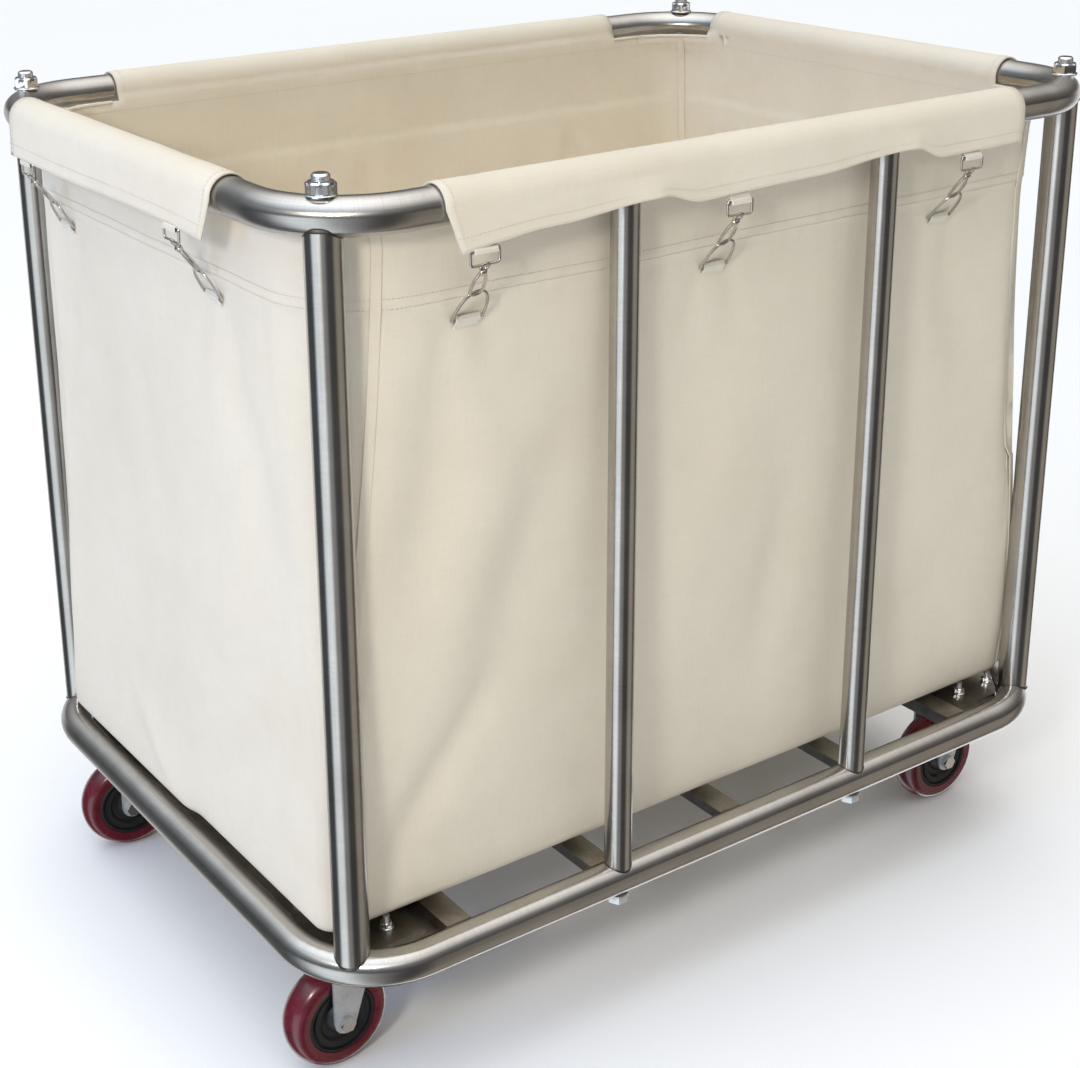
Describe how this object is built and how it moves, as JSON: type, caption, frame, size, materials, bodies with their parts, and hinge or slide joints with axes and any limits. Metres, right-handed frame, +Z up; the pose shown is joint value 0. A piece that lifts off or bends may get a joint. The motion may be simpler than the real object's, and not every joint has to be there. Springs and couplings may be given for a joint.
{
  "type": "laundry cart",
  "caption": "Rectangular laundry cart: round-tube steel frame on swivel casters, holding an open canvas bag folded over its top rail and clipped with snap hooks.",
  "frame": {"origin": "on the floor, under the middle of the cart", "axes": "+X along the long side to the right, +Y along the short side to the back, +Z up; the front is the long side at -Y"},
  "size_m": [0.9262, 0.6662, 0.8318],
  "materials": {
    "stainless_tube": "polished stainless steel with fine lengthwise brushing",
    "chrome_fastener": "bright plated studs and nuts",
    "zinc_plate": "pressed steel with bright zinc plating",
    "maroon_tyre": "glossy maroon polyurethane tread",
    "black_hub": "dull black moulded plastic",
    "nickel_wire": "nickel-plated bent wire",
    "canvas": "cream canvas, tightly woven, slightly smoothed by its coating"
  },
  "bodies": {
    "frame": {"top_rail": "stainless_tube", "bottom_rail": "stainless_tube", "corner_post_front_left": "stainless_tube", "corner_post_front_right": "stainless_tube", "corner_post_back_left": "stainless_tube", "corner_post_back_right": "stainless_tube", "side_post_front_left": "stainless_tube", "side_post_front_right": "stainless_tube", "side_post_back_left": "stainless_tube", "side_post_back_right": "stainless_tube", "cross_bar_1": "stainless_tube", "cross_bar_2": "stainless_tube", "cross_bar_3": "stainless_tube", "cross_bar_4": "stainless_tube", "cross_bar_5": "stainless_tube", "corner_plate_front_left": "stainless_tube", "corner_plate_front_right": "stainless_tube", "corner_plate_back_left": "stainless_tube", "corner_plate_back_right": "stainless_tube", "end_strip_left": "stainless_tube", "end_strip_right": "stainless_tube", "stud_nut_front_left": "chrome_fastener", "stud_nut_front_right": "chrome_fastener", "stud_nut_back_left": "chrome_fastener", "stud_nut_back_right": "chrome_fastener", "foot_bolt_front_left": "zinc_plate", "foot_bolt_front_right": "zinc_plate", "foot_bolt_back_left": "zinc_plate", "foot_bolt_back_right": "zinc_plate", "caster_top_plate_front_left": "zinc_plate", "caster_top_plate_front_right": "zinc_plate", "caster_top_plate_back_left": "zinc_plate", "caster_top_plate_back_right": "zinc_plate", "canvas_bag": "canvas"},
    "caster_front_left": {"caster_fork_front_left": "zinc_plate", "caster_axle_bolt_front_left": "zinc_plate"},
    "wheel_front_left": {"caster_tyre_front_left": "maroon_tyre", "caster_hub_front_left": "black_hub"},
    "caster_front_right": {"caster_fork_front_right": "zinc_plate", "caster_axle_bolt_front_right": "zinc_plate"},
    "wheel_front_right": {"caster_tyre_front_right": "maroon_tyre", "caster_hub_front_right": "black_hub"},
    "caster_back_left": {"caster_fork_back_left": "zinc_plate", "caster_axle_bolt_back_left": "zinc_plate"},
    "wheel_back_left": {"caster_tyre_back_left": "maroon_tyre", "caster_hub_back_left": "black_hub"},
    "caster_back_right": {"caster_fork_back_right": "zinc_plate", "caster_axle_bolt_back_right": "zinc_plate"},
    "wheel_back_right": {"caster_tyre_back_right": "maroon_tyre", "caster_hub_back_right": "black_hub"},
    "hook_front_1": {"snap_hook_front_1": "nickel_wire"},
    "hook_front_2": {"snap_hook_front_2": "nickel_wire"},
    "hook_front_3": {"snap_hook_front_3": "nickel_wire"},
    "hook_back_1": {"snap_hook_back_1": "nickel_wire"},
    "hook_back_2": {"snap_hook_back_2": "nickel_wire"},
    "hook_back_3": {"snap_hook_back_3": "nickel_wire"},
    "hook_left_1": {"snap_hook_left_1": "nickel_wire"},
    "hook_left_2": {"snap_hook_left_2": "nickel_wire"},
    "hook_right_1": {"snap_hook_right_1": "nickel_wire"},
    "hook_right_2": {"snap_hook_right_2": "nickel_wire"}
  },
  "joints": [
    {"name": "caster_swivel_front_left", "type": "hinge", "parent": "frame", "child": "caster_front_left", "pos_m": [-0.386, -0.219, 0.1285], "axis": [0, 0, 1], "continuous": true},
    {"name": "wheel_spin_front_left", "type": "hinge", "parent": "caster_front_left", "child": "wheel_front_left", "pos_m": [-0.3985, -0.219, 0.05], "axis": [0, 1, 0], "continuous": true},
    {"name": "caster_swivel_front_right", "type": "hinge", "parent": "frame", "child": "caster_front_right", "pos_m": [0.386, -0.219, 0.1285], "axis": [0, 0, 1], "continuous": true},
    {"name": "wheel_spin_front_right", "type": "hinge", "parent": "caster_front_right", "child": "wheel_front_right", "pos_m": [0.3735, -0.21878, 0.05], "axis": [0.0175, 0.9998, 0], "continuous": true},
    {"name": "caster_swivel_back_left", "type": "hinge", "parent": "frame", "child": "caster_back_left", "pos_m": [-0.386, 0.219, 0.1285], "axis": [0, 0, 1], "continuous": true},
    {"name": "wheel_spin_back_left", "type": "hinge", "parent": "caster_back_left", "child": "wheel_back_left", "pos_m": [-0.39835, 0.22096, 0.05], "axis": [0.1564, 0.9877, 0], "continuous": true},
    {"name": "caster_swivel_back_right", "type": "hinge", "parent": "frame", "child": "caster_back_right", "pos_m": [0.386, 0.219, 0.1285], "axis": [0, 0, 1], "continuous": true},
    {"name": "wheel_spin_back_right", "type": "hinge", "parent": "caster_back_right", "child": "wheel_back_right", "pos_m": [0.37357, 0.21769, 0.05], "axis": [-0.1045, 0.9945, 0], "continuous": true},
    {"name": "hook_front_1_swing", "type": "hinge", "parent": "frame", "child": "hook_front_1", "pos_m": [-0.3, -0.3295, 0.7505], "axis": [-1, 0, 0], "range_deg": [0, 100]},
    {"name": "hook_front_2_swing", "type": "hinge", "parent": "frame", "child": "hook_front_2", "pos_m": [-0.042, -0.3295, 0.7505], "axis": [-1, 0, 0], "range_deg": [0, 100]},
    {"name": "hook_front_3_swing", "type": "hinge", "parent": "frame", "child": "hook_front_3", "pos_m": [0.24, -0.3295, 0.7505], "axis": [-1, 0, 0], "range_deg": [0, 100]},
    {"name": "hook_back_1_swing", "type": "hinge", "parent": "frame", "child": "hook_back_1", "pos_m": [-0.3, 0.3295, 0.7505], "axis": [1, 0, 0], "range_deg": [0, 100]},
    {"name": "hook_back_2_swing", "type": "hinge", "parent": "frame", "child": "hook_back_2", "pos_m": [-0.042, 0.3295, 0.7505], "axis": [1, 0, 0], "range_deg": [0, 100]},
    {"name": "hook_back_3_swing", "type": "hinge", "parent": "frame", "child": "hook_back_3", "pos_m": [0.24, 0.3295, 0.7505], "axis": [1, 0, 0], "range_deg": [0, 100]},
    {"name": "hook_left_1_swing", "type": "hinge", "parent": "frame", "child": "hook_left_1", "pos_m": [-0.4595, -0.118, 0.7505], "axis": [0, 1, 0], "range_deg": [0, 100]},
    {"name": "hook_left_2_swing", "type": "hinge", "parent": "frame", "child": "hook_left_2", "pos_m": [-0.4595, 0.185, 0.7505], "axis": [0, 1, 0], "range_deg": [0, 100]},
    {"name": "hook_right_1_swing", "type": "hinge", "parent": "frame", "child": "hook_right_1", "pos_m": [0.4595, -0.118, 0.7505], "axis": [0, -1, 0], "range_deg": [0, 100]},
    {"name": "hook_right_2_swing", "type": "hinge", "parent": "frame", "child": "hook_right_2", "pos_m": [0.4595, 0.185, 0.7505], "axis": [0, -1, 0], "range_deg": [0, 100]}
  ]
}
